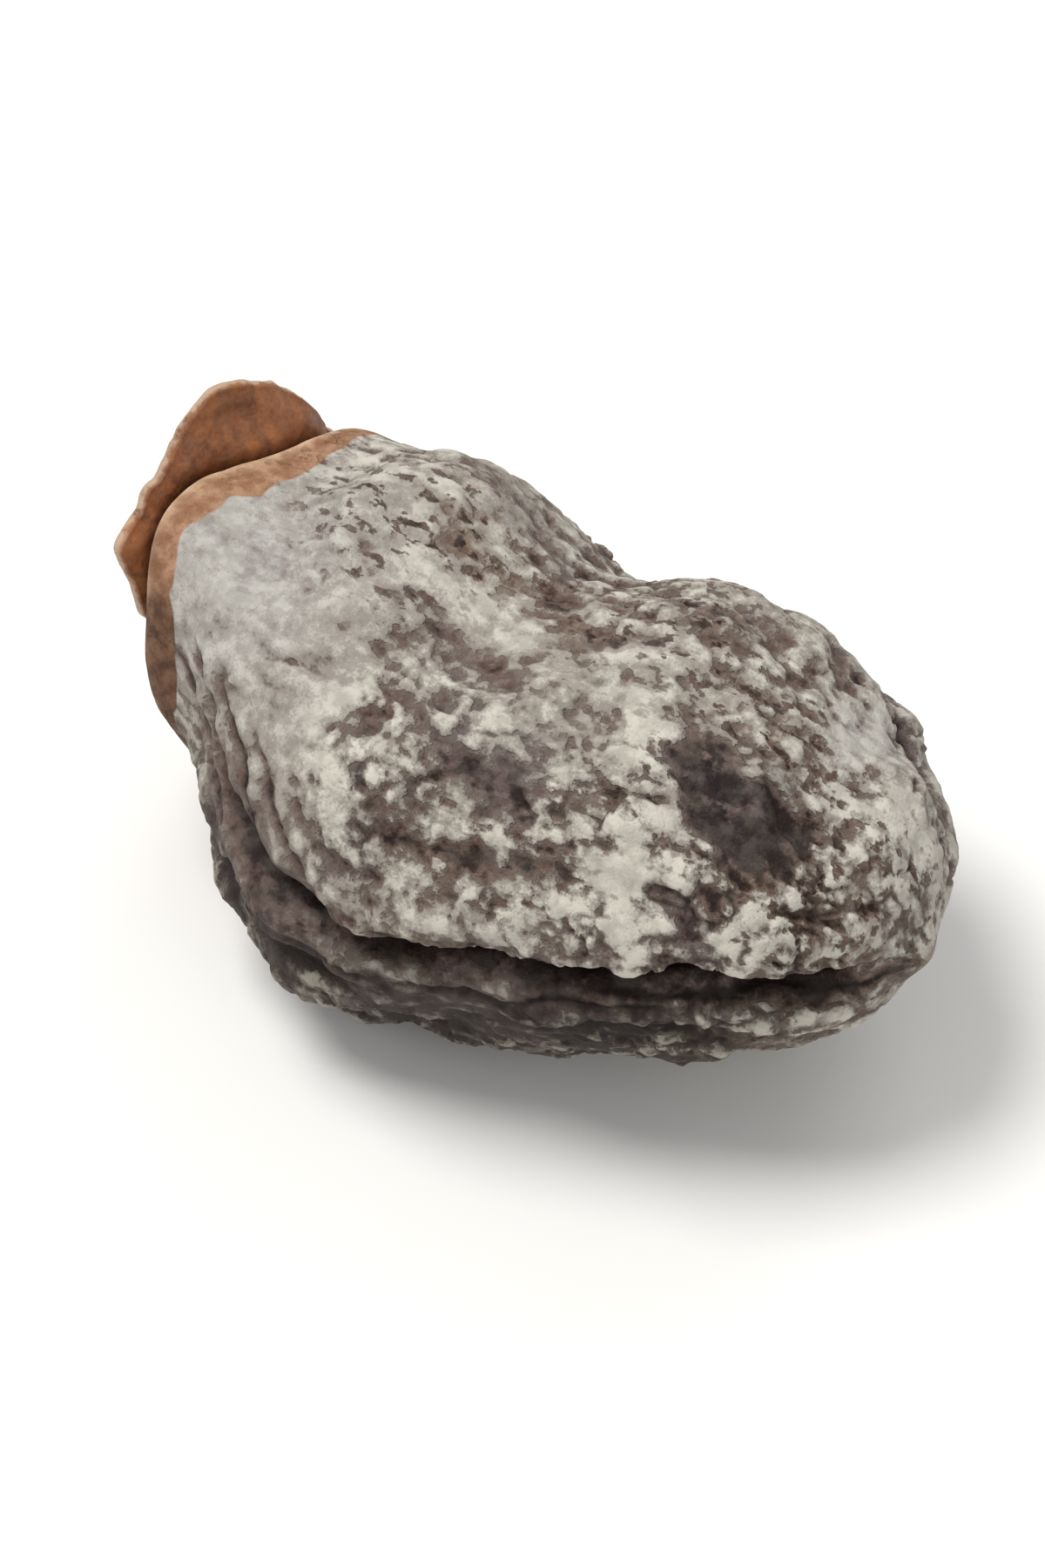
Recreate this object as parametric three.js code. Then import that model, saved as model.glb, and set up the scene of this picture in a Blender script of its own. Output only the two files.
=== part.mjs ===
// A dried persimmon lying on its side: the shrivelled fruit, its leathery calyx and the broken
// stub of the stem. Millimetres, +Z up, the fruit's long axis along X with the calyx at -X and
// the tip at +X, standing on z = 0 with the middle of its box over the origin.

import * as THREE from 'three';

// ---------------------------------------------------------------- driving dimensions
const FRUIT_LENGTH = 56.4; // pole to pole, without the calyx
const WIDEST_AT = 21.6; // distance of the broadest section from the calyx pole
const HALF_WIDTH = 18.3; // across, along Y
const HALF_HEIGHT = 14.6; // along Z
const SHOULDER_POWER = 2.1; // fullness of the shoulder, 2 is an ellipse
const TIP_POWER = 2.3;
const TIP_ROUNDNESS = 1.9;
const SECTION_POWER = 2.25; // squareness of the cross-section, 2 is an ellipse
const MEAN_RADIUS = 16.5;

const AXIS_HEIGHT = 16.7; // of the poles above the surface that the fruit rests on
const BELLY = { at: 23.2, halfLength: 13, drop: 4.6, angle: 214 };
const SEAT = { depth: 2.6, share: 0.53 }; // hollow at the calyx pole, out to a share of the radius
const COLLAR = { rise: 1.5, share: 0.6, halfWidth: 0.085 }; // rim of bare skin round the seat
// Where the rim stands out furthest along the axis, steep outside its crest and easy inside it.
const COLLAR_STAND = { angle: 108, halfWidth: 58, reach: 3.8, outer: 0.075, inner: 0.16 };

const STYLE_SCAR = { rise: 0.9, share: 0.1 }; // the small point at the tip

const CALYX_RADIUS = 11.7;
const CALYX_OFFSET = { y: 0.2, z: 1.1 }; // the calyx sits a little off the fruit's axis
const CALYX_BACK_X = 0.9; // its face towards the fruit, at the middle
const CALYX_RIM_X = 1.3; // where it lies close to the fruit
const CALYX_THICKNESS = 1.7;
const RIM_THICKNESS = 0.6;
const RING_RIDGE = { share: 0.72, halfWidth: 0.08, rise: 0.8 }; // on the outer face
const PIT_DEPTH = 0.9; // of the pit that the stem stands in
const COLLAR_GAP = 0.7; // from the collar's crest to the calyx
// Shares of the crest's radius: its inner face is level out to one before it drops to the fruit's
// shoulder, and has reached the gap by the other where the collar stands out.
const LEVEL_TO = 0.68;
const RAISED_BY = 0.85;
const FLARE_LENGTH = 3.0; // over which the calyx turns towards its rim, outside the crest
const RIM_LIP = { share: 0.12, reach: 0.5 }; // the outermost edge, turned off the fruit
const LOBE_ANGLE = 75; // middle of one of the four lobes
const LOBE_SHARE = 0.095; // how far a lobe reaches past the mean radius
const SHRUNK_SIDE = { angle: 190, halfWidth: 35, share: 0.33 }; // where the calyx dried narrower
const RIM_CURL = { angle: 104, halfWidth: 58, reach: 4.2 }; // where its rim curls off the fruit
const RIM_FOLD = { angle: 141, halfWidth: 8, reach: 2.3 }; // a corner folded out of the rim

const STEM_FOOT_X = -0.95;
const STEM_LENGTH = 3.4;
const STEM_RADIUS = 1.7;

const BODY_ROWS = 56;
const BODY_COLUMNS = 84;
const CALYX_ROWS = 26;
const CALYX_COLUMNS = 52;
const STEM_ROWS = 10;
const STEM_COLUMNS = 16;

// Swells and hollows of the fruit: how far along it, at which angle round it (0 is +Y, 90 is up),
// how high, and the half-length and half-width over which each fades.
const SWELLS = [
  { at: 3.0, angle: 44, rise: 0.5, halfLength: 3, halfWidth: 8 },
  { at: 3.0, angle: 124, rise: 2.5, halfLength: 5, halfWidth: 4.5 }, // corner beside the calyx
  { at: 6.0, angle: 168, rise: -1.3, halfLength: 6, halfWidth: 5 },
  { at: 11.2, angle: 40, rise: 1.0, halfLength: 4.5, halfWidth: 8 }, // corner of the shoulder
  { at: 5.0, angle: 90, rise: -0.4, halfLength: 5, halfWidth: 7 },
  { at: 24.0, angle: 31, rise: -1.2, halfLength: 3.5, halfWidth: 8 }, // waist
  { at: 35.5, angle: 34, rise: 0.4, halfLength: 6, halfWidth: 8 },
  { at: 42.0, angle: 36, rise: -0.5, halfLength: 5, halfWidth: 7 },
  { at: 27.0, angle: 92, rise: -0.6, halfLength: 9, halfWidth: 6 },
  { at: 17.0, angle: 140, rise: 0.8, halfLength: 11, halfWidth: 8 },
  { at: 40.0, angle: 122, rise: 0.9, halfLength: 9, halfWidth: 8 },
  { at: 47.7, angle: 50, rise: -0.8, halfLength: 2.4, halfWidth: 6 }, // groove before the tip lobe
  { at: 51.7, angle: 70, rise: 0.6, halfLength: 3, halfWidth: 7 },
  { at: 33.0, angle: 250, rise: 0.7, halfLength: 12, halfWidth: 8 },
  { at: 11.0, angle: 320, rise: 1.2, halfLength: 8, halfWidth: 8 },
  { at: 41.0, angle: 350, rise: 0.8, halfLength: 8, halfWidth: 8 },
];

// Lengthwise creases of the shrivelled flesh, in order round the fruit: the angle of each at the
// calyx pole, at the middle and at the tip, where it starts and stops, its depth and half-width,
// the height of its lips, and how far its upper lip hangs over it.
const CREASES = [
  { angles: [-4, 2, -10], from: 1, to: 40, depth: 2.1, halfWidth: 1.4, lip: 0.7, overhang: 0 },
  { angles: [26, 15, 24], from: 24, to: 55, depth: 1.3, halfWidth: 1.2, lip: 0.5, overhang: 0 },
  { angles: [60, 40, 52], from: 18, to: 31, depth: 0.8, halfWidth: 1.2, lip: 0.3, overhang: 0 },
  { angles: [150, 170, 162], from: 7, to: 60, depth: 3.4, halfWidth: 1.2, lip: 1.1, overhang: 0.9 },
  { angles: [196, 186, 184], from: 3, to: 28, depth: 1.6, halfWidth: 1.1, lip: 0.5, overhang: 0.3 },
  { angles: [222, 206, 200], from: 3, to: 34, depth: 1.6, halfWidth: 1.1, lip: 0.6, overhang: 0.3 },
  { angles: [250, 226, 220], from: 18, to: 54, depth: 2.1, halfWidth: 1.3, lip: 0.6, overhang: 0 },
  { angles: [290, 304, 284], from: 2, to: 48, depth: 2.6, halfWidth: 1.5, lip: 0.8, overhang: 0 },
  { angles: [326, 336, 316], from: 10, to: 55, depth: 2.1, halfWidth: 1.4, lip: 0.7, overhang: 0 },
];

// ---------------------------------------------------------------- small helpers
const radians = THREE.MathUtils.degToRad;
const { lerp } = THREE.MathUtils;
const { sin, cos, abs, max, hypot, PI } = Math;

const bump = (distance, halfWidth) => Math.exp(-((distance / halfWidth) ** 2));

const smooth = (share) => {
  const t = THREE.MathUtils.clamp(share, 0, 1);
  return t * t * (3 - 2 * t);
};

// An angle brought into -PI to PI.
const turned = (angle) => THREE.MathUtils.euclideanModulo(angle + PI, 2 * PI) - PI;

// A closed surface from pole to pole: pointAt(share, angle) gives [x, y, z] with the share of the
// way from the -X pole to the +X pole and the angle round the X axis from +Y towards +Z.
function closedSurface(rows, columns, pointAt) {
  const positions = [...pointAt(0, 0)];
  for (let row = 1; row < rows; row += 1) {
    for (let column = 0; column < columns; column += 1) {
      positions.push(...pointAt(row / rows, (2 * PI * column) / columns));
    }
  }
  positions.push(...pointAt(1, 0));

  const lastPole = 1 + (rows - 1) * columns;
  const vertexAt = (row, column) => 1 + (row - 1) * columns + (column % columns);
  const triangles = [];
  for (let column = 0; column < columns; column += 1) {
    triangles.push(0, vertexAt(1, column + 1), vertexAt(1, column));
    triangles.push(lastPole, vertexAt(rows - 1, column), vertexAt(rows - 1, column + 1));
    for (let row = 1; row < rows - 1; row += 1) {
      const near = vertexAt(row, column);
      const nearNext = vertexAt(row, column + 1);
      const far = vertexAt(row + 1, column);
      const farNext = vertexAt(row + 1, column + 1);
      triangles.push(near, nearNext, farNext, near, farNext, far);
    }
  }
  const geometry = new THREE.BufferGeometry();
  geometry.setAttribute('position', new THREE.Float32BufferAttribute(positions, 3));
  geometry.setIndex(triangles);
  geometry.computeVertexNormals();
  return geometry;
}

// ---------------------------------------------------------------- fruit body
// The undented fruit at a meridian angle: distance along the axis, share of the full radius, and
// the outward direction in the meridian plane.
function meridian(theta) {
  const c = cos(theta);
  const s = sin(theta);
  const onShoulder = c > 0;
  const half = onShoulder ? WIDEST_AT : FRUIT_LENGTH - WIDEST_AT;
  const power = onShoulder ? SHOULDER_POWER : TIP_POWER;
  const roundness = onShoulder ? SHOULDER_POWER : TIP_ROUNDNESS;
  const along = WIDEST_AT - Math.sign(c) * half * abs(c) ** (2 / power);
  const outLength = hypot(c / half, s / MEAN_RADIUS);
  return {
    along,
    share: abs(s) ** (2 / roundness),
    outAlong: -c / half / outLength,
    outAcross: s / MEAN_RADIUS / outLength,
  };
}

function sectionRadius(angle) {
  const across = abs(cos(angle) / HALF_WIDTH) ** SECTION_POWER;
  const upward = abs(sin(angle) / HALF_HEIGHT) ** SECTION_POWER;
  return (across + upward) ** (-1 / SECTION_POWER);
}

// Gentle unevenness all over.
function lumps(along, angle) {
  return (
    0.3 * sin(0.31 * along + 2 * angle + 1.5) +
    0.25 * sin(0.23 * along - 3 * angle + 2.7) +
    0.16 * sin(0.52 * along + 5 * angle + 2.8) +
    0.12 * sin(0.74 * along - 4 * angle + 6.1)
  );
}

function swellAt(swell, along, angle, radius) {
  const across = turned(angle - radians(swell.angle)) * max(radius, 4);
  return swell.rise * bump(along - swell.at, swell.halfLength) * bump(across, swell.halfWidth);
}

// The angle round the fruit at which a crease runs: a curve through its three angles, wavering.
function creaseAngle(crease, along) {
  const t = along / FRUIT_LENGTH;
  const [first, middle, last] = crease.angles;
  const curve = first * (1 - t) * (1 - 2 * t) + 4 * middle * t * (1 - t) + last * t * (2 * t - 1);
  const waver = 1.4 * sin(0.5 * along + middle) + 0.7 * sin(1.0 * along + 2 * middle);
  return radians(curve + waver);
}

// What a crease does to a point: how far it rises, and how far it slides round the fruit.
function creaseAt(crease, along, angle, radius) {
  const run = smooth((along - crease.from) / 7) * smooth((crease.to - along) / 6);
  const across = turned(angle - creaseAngle(crease, along)) * max(radius, 3);
  const width = crease.halfWidth;
  const notch = crease.depth * Math.exp(-((abs(across) / width) ** 1.3));
  const upperLip = crease.lip * bump(across + 2.2 * width, 2.2 * width);
  const lowerLip = 0.6 * crease.lip * bump(across - 2.6 * width, 2.2 * width);
  return {
    rise: run * (upperLip + lowerLip - notch),
    slide: run * crease.overhang * bump(across + 1.8 * width, 1.4 * width),
  };
}

// The angle of a column of the mesh at a meridian angle. Columns follow the creases, so that each
// crease has a column along its floor, and share the space between evenly.
const homes = CREASES.map((crease) => radians(crease.angles[1]));

function columnAngle(nominal, theta) {
  const { along } = meridian(theta);
  const count = CREASES.length;
  let next = homes.findIndex((home) => home > nominal);
  next = next < 0 ? count : next;
  const wrapAt = (list, index) => list[(index + count) % count] + 2 * PI * Math.floor(index / count);
  const angles = CREASES.map((crease) => creaseAngle(crease, along));
  const share = (nominal - wrapAt(homes, next - 1)) / (wrapAt(homes, next) - wrapAt(homes, next - 1));
  return lerp(wrapAt(angles, next - 1), wrapAt(angles, next), share);
}

// How far an angle is inside a place, 1 at its middle.
const within = (place, angle) => bump(turned(angle - radians(place.angle)), radians(place.halfWidth));

// How far the rim of skin stands out along the axis: steep outside its crest and easy inside it.
function collarStand(share, angle) {
  const past = share - COLLAR.share;
  const width = past > 0 ? COLLAR_STAND.outer : COLLAR_STAND.inner;
  return COLLAR_STAND.reach * within(COLLAR_STAND, angle) * bump(past, width);
}

function bodyPoint(theta, angle) {
  const line = meridian(theta);
  const radius = line.share * sectionRadius(angle);
  const awayFromPoles = smooth(line.share / 0.55);
  const atCalyxEnd = smooth((2 * (WIDEST_AT - line.along)) / WIDEST_AT);

  let rise = awayFromPoles * lumps(line.along, angle);
  let slide = 0;
  const offSeat = 1 - atCalyxEnd * (1 - smooth((line.share - 0.54) / 0.14));
  for (const swell of SWELLS) {
    rise += offSeat * swellAt(swell, line.along, angle, radius);
  }
  for (const crease of CREASES) {
    const fold = creaseAt(crease, line.along, angle, radius);
    rise += awayFromPoles * fold.rise;
    slide += awayFromPoles * fold.slide;
  }
  rise += atCalyxEnd * COLLAR.rise * bump(line.share - COLLAR.share, COLLAR.halfWidth);

  const seat = atCalyxEnd * SEAT.depth * (1 - smooth(line.share / SEAT.share));
  const point = atCalyxEnd > 0 ? 0 : STYLE_SCAR.rise * bump(line.share, STYLE_SCAR.share);
  const stand = atCalyxEnd * collarStand(line.share, angle);
  const along = line.along + line.outAlong * rise + seat + point - stand;
  const across = radius + line.outAcross * rise;
  const sag = BELLY.drop * bump(along - BELLY.at, BELLY.halfLength);
  const turn = angle + slide / max(radius, 3);
  const y = sag * cos(radians(BELLY.angle)) + across * cos(turn);
  const z = sag * sin(radians(BELLY.angle)) + across * sin(turn);
  return [along, y, max(z + AXIS_HEIGHT, 0)];
}

const bodyGridPoint = (share, nominal) => bodyPoint(share * PI, columnAngle(nominal, share * PI));

// The collar's crest at an angle round the fruit's axis: its distance from the axis and its x.
const CREST_THETA = Math.asin(COLLAR.share ** (SHOULDER_POWER / 2));

function collarCrest(angle) {
  const [x, y, z] = bodyPoint(CREST_THETA, angle);
  return { x, radius: hypot(y, z - AXIS_HEIGHT) };
}

// ---------------------------------------------------------------- calyx
// Its inner face lies on the collar's crest at a small gap and turns off the fruit outside it; its
// outer face has a pit for the stem, a ring ridge and a valley before the thin rim.
function calyxPoint(share, angle) {
  const outside = share <= 0.5;
  const out = outside ? 2 * share : 2 * (1 - share);
  const lobe = LOBE_SHARE * cos(4 * (angle - radians(LOBE_ANGLE)));
  const ruffle = 0.01 * sin(9 * angle + 1) + 0.006 * sin(17 * angle + 2.3);
  const shrunk = SHRUNK_SIDE.share * within(SHRUNK_SIDE, angle);
  const fold = RIM_FOLD.reach * within(RIM_FOLD, angle) * smooth((out - 0.7) / 0.3);
  const radius = out * (CALYX_RADIUS * (1 + lobe + ruffle - shrunk) + fold);
  const y = CALYX_OFFSET.y + radius * cos(angle);
  const up = CALYX_OFFSET.z + radius * sin(angle);

  const crest = collarCrest(Math.atan2(up, y));
  const fromAxis = hypot(y, up);
  const reached = fromAxis / crest.radius;
  const raised = smooth(reached / RAISED_BY);
  const dropped = smooth((reached - LEVEL_TO) / (1 - LEVEL_TO));
  const onCrest = crest.x - COLLAR_GAP;
  const seated = lerp(CALYX_BACK_X, onCrest, onCrest < CALYX_BACK_X ? raised : dropped);
  const flare = smooth((fromAxis - crest.radius) / FLARE_LENGTH);
  const wave = 0.25 * sin(3 * angle + 0.4) + 0.1 * sin(7 * angle);
  const rim = CALYX_RIM_X + wave - RIM_CURL.reach * within(RIM_CURL, angle);
  const lip = RIM_LIP.reach * smooth((out - 1) / RIM_LIP.share + 1);
  const innerFace = lerp(seated, Math.min(rim, seated), flare) - lip;
  if (!outside) {
    return [innerFace, y, AXIS_HEIGHT + up];
  }
  const thickness = lerp(CALYX_THICKNESS, RIM_THICKNESS, smooth((out - 0.6) / 0.4));
  const pit = PIT_DEPTH * (1 - smooth((out - 0.14) / 0.3));
  const ridge = RING_RIDGE.rise * bump(out - RING_RIDGE.share, RING_RIDGE.halfWidth);
  return [innerFace - thickness + pit - ridge, y, AXIS_HEIGHT + up];
}

// ---------------------------------------------------------------- stem stub
// A short woody stub, a little oval and bent, thicker at its foot, with a broken end.
function stemPoint(share, angle) {
  const down = smooth((share - 0.2) / 0.6);
  const width = Math.min(1, sin(share * PI) * 1.9);
  const radius = STEM_RADIUS * width * (0.86 + 0.2 * down + 0.05 * sin(3 * angle + 0.7));
  const slope = 0.35 * cos(angle - 1.2) * (1 - down);
  const x = STEM_FOOT_X - STEM_LENGTH * (1 - down) + slope * width;
  const y = CALYX_OFFSET.y + radius * cos(angle);
  const bend = 0.5 * (1 - down);
  const z = AXIS_HEIGHT + CALYX_OFFSET.z + bend + 0.9 * radius * sin(angle);
  return [x, y, z];
}

// ---------------------------------------------------------------- the part
function piece(name, geometry, colour, roughness) {
  const material = new THREE.MeshStandardMaterial({ color: colour, roughness, metalness: 0 });
  const mesh = new THREE.Mesh(geometry, material);
  mesh.name = name;
  return mesh;
}

const persimmon = new THREE.Group();
persimmon.add(
  piece('fruit_body', closedSurface(BODY_ROWS, BODY_COLUMNS, bodyGridPoint), 0x948d85, 0.9),
  piece('calyx', closedSurface(CALYX_ROWS, CALYX_COLUMNS, calyxPoint), 0x8f6246, 0.8),
  piece('stem_stub', closedSurface(STEM_ROWS, STEM_COLUMNS, stemPoint), 0x5b4a45, 0.85),
);

const box = new THREE.Box3().setFromObject(persimmon);
const middle = box.getCenter(new THREE.Vector3());
persimmon.position.set(-middle.x, -middle.y, 0);

export default persimmon;
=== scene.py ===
"""The looks of a dried persimmon: a shrivelled fruit under a crusty sugar bloom, its leathery
calyx and a broken stem stub, lying on a pale floor in soft studio light.

Shapes are worked out in millimetres by the same formulas as the solids, then roughened. The
meshes are in metres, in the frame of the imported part."""

import math

import bpy
import numpy as np
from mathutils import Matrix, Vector, noise


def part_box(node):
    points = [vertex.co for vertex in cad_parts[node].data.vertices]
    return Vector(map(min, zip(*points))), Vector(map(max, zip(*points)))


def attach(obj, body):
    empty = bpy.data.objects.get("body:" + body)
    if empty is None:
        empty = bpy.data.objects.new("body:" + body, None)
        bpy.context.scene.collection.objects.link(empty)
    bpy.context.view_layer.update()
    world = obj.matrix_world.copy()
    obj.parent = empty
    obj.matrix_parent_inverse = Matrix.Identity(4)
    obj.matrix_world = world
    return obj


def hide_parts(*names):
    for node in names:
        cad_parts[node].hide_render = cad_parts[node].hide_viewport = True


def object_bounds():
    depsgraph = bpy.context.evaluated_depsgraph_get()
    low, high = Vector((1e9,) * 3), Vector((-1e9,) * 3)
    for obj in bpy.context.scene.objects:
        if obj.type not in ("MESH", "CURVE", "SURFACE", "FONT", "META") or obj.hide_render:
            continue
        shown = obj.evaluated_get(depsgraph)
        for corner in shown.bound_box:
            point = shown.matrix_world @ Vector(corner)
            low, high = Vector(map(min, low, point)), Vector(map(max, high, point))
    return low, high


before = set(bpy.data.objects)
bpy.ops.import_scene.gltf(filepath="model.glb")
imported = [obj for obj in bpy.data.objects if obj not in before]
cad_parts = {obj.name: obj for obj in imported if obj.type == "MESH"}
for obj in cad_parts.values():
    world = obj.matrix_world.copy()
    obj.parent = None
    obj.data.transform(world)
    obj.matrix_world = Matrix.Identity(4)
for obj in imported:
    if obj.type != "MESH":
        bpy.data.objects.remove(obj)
cad_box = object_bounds()

MM = 0.001
radians = np.radians

# ---- the fruit, mm
FRUIT_LENGTH = 56.4  # pole to pole, without the calyx
WIDEST_AT = 21.6  # distance of the broadest section from the calyx pole
HALF_WIDTH = 18.3  # across, along Y
HALF_HEIGHT = 14.6  # along Z
SHOULDER_POWER = 2.1  # fullness of the shoulder, 2 is an ellipse
TIP_POWER = 2.3
TIP_ROUNDNESS = 1.9
SECTION_POWER = 2.25  # squareness of the cross-section, 2 is an ellipse
MEAN_RADIUS = 16.5
AXIS_HEIGHT = 16.7  # of the poles above the surface that the fruit rests on
BELLY_AT, BELLY_LENGTH, BELLY_DROP, BELLY_ANGLE = 23.2, 13.0, 4.6, 214  # it sags a little
SEAT_DEPTH, SEAT_SHARE = 2.6, 0.53  # hollow at the calyx pole, out to a share of the radius
# The rim of bare skin round the seat, and where it stands out furthest along the axis, steep
# outside its crest and easy inside it.
COLLAR_RISE, COLLAR_SHARE, COLLAR_WIDTH = 1.5, 0.6, 0.085
STAND_ANGLE, STAND_HALF_WIDTH, STAND_REACH = 108, 58, 3.8
STAND_OUTER, STAND_INNER = 0.075, 0.16
SCAR_RISE, SCAR_SHARE = 0.9, 0.1  # the small point at the tip
FADED_IN = 0.55  # share of the radius from which lumps and creases are whole
SWELLS_FROM, SWELLS_FADE = 0.54, 0.14  # the same for swells, which stay off the seat
LEAST_SPOT_RADIUS, LEAST_CREASE_RADIUS = 4, 3  # what widths are measured at, near the poles

# Gentle unevenness all over: height, radians a millimetre along, waves round, phase.
LUMPS = [
    (0.30, 0.31, 2, 1.5),
    (0.25, 0.23, -3, 2.7),
    (0.16, 0.52, 5, 2.8),
    (0.12, 0.74, -4, 6.1),
]

# Swells: distance along, angle round (0 is +Y, 90 is up), rise, half-length, half-width.
SWELLS = [
    (3.0, 44, 0.5, 3, 8),
    (3.0, 124, 2.5, 5, 4.5),
    (6.0, 168, -1.3, 6, 5),
    (11.2, 40, 1.0, 4.5, 8),
    (5.0, 90, -0.4, 5, 7),
    (24.0, 31, -1.2, 3.5, 8),
    (35.5, 34, 0.4, 6, 8),
    (42.0, 36, -0.5, 5, 7),
    (27.0, 92, -0.6, 9, 6),
    (17.0, 140, 0.8, 11, 8),
    (40.0, 122, 0.9, 9, 8),
    (47.7, 50, -0.8, 2.4, 6),
    (51.7, 70, 0.6, 3, 7),
    (33.0, 250, 0.7, 12, 8),
    (11.0, 320, 1.2, 8, 8),
    (41.0, 350, 0.8, 8, 8),
]

# Creases: angles at the calyx pole, middle and tip, start, stop, depth, half-width, lip, overhang.
CREASES = [
    ((-4, 2, -10), 1, 40, 2.1, 1.4, 0.7, 0),
    ((26, 15, 24), 24, 55, 1.3, 1.2, 0.5, 0),
    ((60, 40, 52), 18, 31, 0.8, 1.2, 0.3, 0),
    ((150, 170, 162), 7, 60, 3.4, 1.2, 1.1, 0.9),
    ((196, 186, 184), 3, 28, 1.6, 1.1, 0.5, 0.3),
    ((222, 206, 200), 3, 34, 1.6, 1.1, 0.6, 0.3),
    ((250, 226, 220), 18, 54, 2.1, 1.3, 0.6, 0),
    ((290, 304, 284), 2, 48, 2.6, 1.5, 0.8, 0),
    ((326, 336, 316), 10, 55, 2.1, 1.4, 0.7, 0),
]
CREASE_START, CREASE_STOP = 7, 6  # lengths over which a crease starts and stops
WAVERS = [(1.4, 0.5, 1), (0.7, 1.0, 2)]  # of creases: degrees, radians a millimetre, shift
NOTCH_POWER = 1.3  # a little sharper than a bump
# Places and widths of the lips and of the overhang, as shares of a crease's half-width.
UPPER_LIP_AT, LOWER_LIP_AT, LIP_WIDTH, LOWER_LIP = 2.2, 2.6, 2.2, 0.6
OVERHANG_AT, OVERHANG_WIDTH = 1.8, 1.4
# A crease this deep gets the full painted shade.
DARK_DEPTH = 2.4  # of a crease that is as dark as can be

# ---- the calyx and the stem, mm
CALYX_RADIUS = 11.7
CALYX_OFFSET_Y, CALYX_OFFSET_Z = 0.2, 1.1  # it sits a little off the fruit's axis
CALYX_BACK_X = 0.9  # its face towards the fruit, at the middle
CALYX_RIM_X = 1.3  # where it lies close to the fruit
CALYX_THICKNESS = 1.7
RIM_THICKNESS = 0.6
RIDGE_SHARE, RIDGE_WIDTH, RIDGE_RISE = 0.72, 0.08, 0.8  # ring on the outer face
PIT_DEPTH = 0.9  # of the pit that the stem stands in
COLLAR_GAP = 0.7  # from the collar's crest to the calyx
# Shares of the crest's radius: its inner face is level out to one before it drops to the fruit's
# shoulder, and has reached the gap by the other where the collar stands out.
LEVEL_TO, RAISED_BY = 0.68, 0.85
FLARE_LENGTH = 3.0  # over which the calyx turns towards its rim, outside the crest
LIP_SHARE, LIP_REACH = 0.12, 0.5  # the outermost edge, turned off the fruit
LOBE_ANGLE = 75  # middle of one of the four lobes
LOBE_SHARE = 0.095  # how far a lobe reaches past the mean radius
SHRUNK_ANGLE, SHRUNK_HALF_WIDTH, SHRUNK_SHARE = 190, 35, 0.33  # where it dried narrower
CURL_ANGLE, CURL_HALF_WIDTH, CURL_REACH = 104, 58, 4.2  # where its rim curls off the fruit
FOLD_ANGLE, FOLD_HALF_WIDTH, FOLD_REACH = 141, 8, 2.3  # a corner folded out of the rim
STEM_FOOT_X = -0.95
STEM_LENGTH = 3.4
STEM_RADIUS = 1.7

FINENESS = 1.0  # of the meshes
BODY_ROWS, BODY_COLUMNS = int(296 * FINENESS), int(330 * FINENESS)
CALYX_ROWS, CALYX_COLUMNS = int(170 * FINENESS), int(280 * FINENESS)
STEM_ROWS, STEM_COLUMNS = int(90 * FINENESS), int(96 * FINENESS)
MERIDIAN_STEPS = 2001  # at which the length of the skin is measured


# ---- small helpers
def bump(distance, half_width):
    """1 at no distance, fading away on both sides."""
    return np.exp(-((distance / half_width) ** 2))


def smooth(share):
    """An eased step from 0 to 1."""
    t = np.clip(share, 0, 1)
    return t * t * (3 - 2 * t)


def soft(value, most):
    """The value, levelling off at a most."""
    return most * np.tanh(value / most)


def mix(a, b, share):
    return a + (b - a) * share


def turned(angle):
    """An angle brought into -pi to pi."""
    return (angle + np.pi) % (2 * np.pi) - np.pi


def within(angle, place, half_width):
    """How far an angle is inside a place given in degrees, 1 at its middle."""
    return bump(turned(angle - radians(place)), radians(half_width))


# ---- noise
# How far a seed of 1 moves each kind of noise along each axis.
SEED_STEPS = (17.3, -9.1, 5.7)
CELL_SEED_STEPS = (11.7, 4.3, -6.1)
OCTAVE_STEP = 3.1  # from one octave's seed to the next
OCTAVE_SHARE = 0.55  # weight of an octave next to the one before
FRACTAL_GAIN = 1.6  # brings the mean of the octaves to about -1 to 1


def at_points(value, points, scale, offset):
    """A value of noise at an array of points. scale is in waves per millimetre."""
    flat = points.reshape(-1, 3) * scale
    values = [value(Vector(p) + offset) for p in flat.tolist()]
    return np.array(values).reshape(points.shape[:-1])


def perlin(points, scale, seed):
    """Perlin noise, about -1 to 1."""
    offset = Vector([step * seed for step in SEED_STEPS])
    return at_points(noise.noise, points, scale, offset)


def fractal(points, scale, octaves, seed):
    """Several octaves of Perlin noise, scaled to about -1 to 1."""
    total, weight, reach = 0, 1.0, 0.0
    for octave in range(octaves):
        total = total + weight * perlin(points, scale * 2 ** octave, seed + OCTAVE_STEP * octave)
        reach += weight
        weight *= OCTAVE_SHARE
    return total / reach * FRACTAL_GAIN


def layers(points, rows):
    """A sum of noises, each with how much, waves per millimetre and seed."""
    return sum(much * perlin(points, scale, seed) for much, scale, seed in rows)


def cell_borders(points, scale, seed):
    """An uneven net of cells: 0 on the lines between them, about 0.5 in the middle of a cell."""
    def border(point):
        nearest = noise.voronoi(point)[0]
        return nearest[1] - nearest[0]

    offset = Vector([step * seed for step in CELL_SEED_STEPS])
    return at_points(border, points, scale, offset)


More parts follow.
